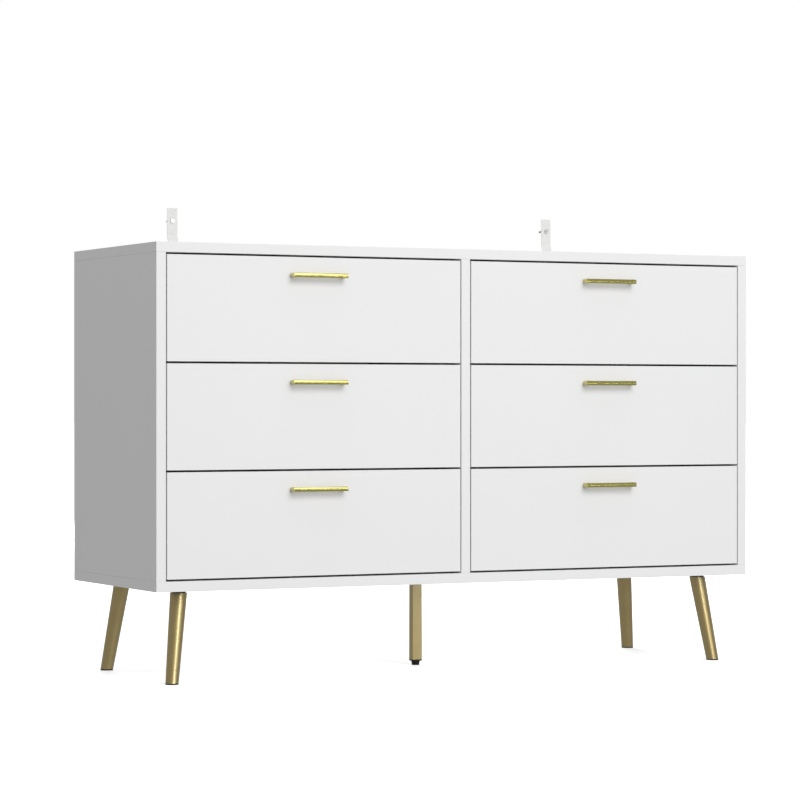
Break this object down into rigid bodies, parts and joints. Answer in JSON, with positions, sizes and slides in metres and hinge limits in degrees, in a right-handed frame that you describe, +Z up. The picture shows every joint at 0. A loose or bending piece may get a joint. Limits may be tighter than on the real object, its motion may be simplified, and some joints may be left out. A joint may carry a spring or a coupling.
{
  "type": "dresser",
  "caption": "Low wide dresser with side-by-side columns of inset drawers, gold bar handles, splayed gold legs, a centre support leg and wall straps.",
  "frame": {"origin": "on the floor under the middle of the case, at the centre of the levelling foot's underside", "axes": "+X to the right as seen from the front, +Y from the drawer fronts to the back, +Z up"},
  "size_m": [1.2, 0.4579, 0.851],
  "materials": {
    "white_board": "white melamine foil on particle board, satin",
    "hardboard": "white-faced hardboard, smooth front",
    "gold_leg": "satin gold lacquer on steel",
    "gold_handle": "polished gold plating",
    "black_steel": "black powder coat",
    "black_plastic": "moulded, fine matt grain",
    "zinc_steel": "bright zinc plating",
    "white_strap": "woven nylon, slightly glossy"
  },
  "bodies": {
    "cabinet": {"top_panel": "white_board", "bottom_panel": "white_board", "left_side_panel": "white_board", "right_side_panel": "white_board", "centre_divider": "white_board", "left_back_panel": "hardboard", "right_back_panel": "hardboard", "case_fittings": "zinc_steel", "case_runners": "zinc_steel", "front_left_leg": "gold_leg", "front_right_leg": "gold_leg", "back_left_leg": "gold_leg", "back_right_leg": "gold_leg", "leg_plates": "black_steel", "leg_end_caps": "black_plastic", "centre_leg": "gold_leg", "wall_straps": "white_strap"},
    "levelling_foot": {"levelling_foot": "black_plastic"},
    "left_bottom_drawer": {"left_bottom_drawer_front": "white_board", "left_bottom_drawer_left_board": "white_board", "left_bottom_drawer_right_board": "white_board", "left_bottom_drawer_back_board": "white_board", "left_bottom_drawer_floor": "hardboard", "left_bottom_drawer_handle": "gold_handle", "left_bottom_drawer_fittings": "zinc_steel"},
    "left_middle_drawer": {"left_middle_drawer_front": "white_board", "left_middle_drawer_left_board": "white_board", "left_middle_drawer_right_board": "white_board", "left_middle_drawer_back_board": "white_board", "left_middle_drawer_floor": "hardboard", "left_middle_drawer_handle": "gold_handle", "left_middle_drawer_fittings": "zinc_steel"},
    "left_top_drawer": {"left_top_drawer_front": "white_board", "left_top_drawer_left_board": "white_board", "left_top_drawer_right_board": "white_board", "left_top_drawer_back_board": "white_board", "left_top_drawer_floor": "hardboard", "left_top_drawer_handle": "gold_handle", "left_top_drawer_fittings": "zinc_steel"},
    "right_bottom_drawer": {"right_bottom_drawer_front": "white_board", "right_bottom_drawer_left_board": "white_board", "right_bottom_drawer_right_board": "white_board", "right_bottom_drawer_back_board": "white_board", "right_bottom_drawer_floor": "hardboard", "right_bottom_drawer_handle": "gold_handle", "right_bottom_drawer_fittings": "zinc_steel"},
    "right_middle_drawer": {"right_middle_drawer_front": "white_board", "right_middle_drawer_left_board": "white_board", "right_middle_drawer_right_board": "white_board", "right_middle_drawer_back_board": "white_board", "right_middle_drawer_floor": "hardboard", "right_middle_drawer_handle": "gold_handle", "right_middle_drawer_fittings": "zinc_steel"},
    "right_top_drawer": {"right_top_drawer_front": "white_board", "right_top_drawer_left_board": "white_board", "right_top_drawer_right_board": "white_board", "right_top_drawer_back_board": "white_board", "right_top_drawer_floor": "hardboard", "right_top_drawer_handle": "gold_handle", "right_top_drawer_fittings": "zinc_steel"}
  },
  "joints": [
    {"name": "left_bottom_drawer_slide", "type": "slide", "parent": "cabinet", "child": "left_bottom_drawer", "axis": [0, -1, 0], "range_m": [0, 0.26]},
    {"name": "left_middle_drawer_slide", "type": "slide", "parent": "cabinet", "child": "left_middle_drawer", "axis": [0, -1, 0], "range_m": [0, 0.26]},
    {"name": "left_top_drawer_slide", "type": "slide", "parent": "cabinet", "child": "left_top_drawer", "axis": [0, -1, 0], "range_m": [0, 0.26]},
    {"name": "right_bottom_drawer_slide", "type": "slide", "parent": "cabinet", "child": "right_bottom_drawer", "axis": [0, -1, 0], "range_m": [0, 0.26]},
    {"name": "right_middle_drawer_slide", "type": "slide", "parent": "cabinet", "child": "right_middle_drawer", "axis": [0, -1, 0], "range_m": [0, 0.26]},
    {"name": "right_top_drawer_slide", "type": "slide", "parent": "cabinet", "child": "right_top_drawer", "axis": [0, -1, 0], "range_m": [0, 0.26]},
    {"name": "levelling_foot_turn", "type": "hinge", "parent": "cabinet", "child": "levelling_foot", "pos_m": [0, 0, 0], "axis": [0, 0, 1], "continuous": true}
  ]
}
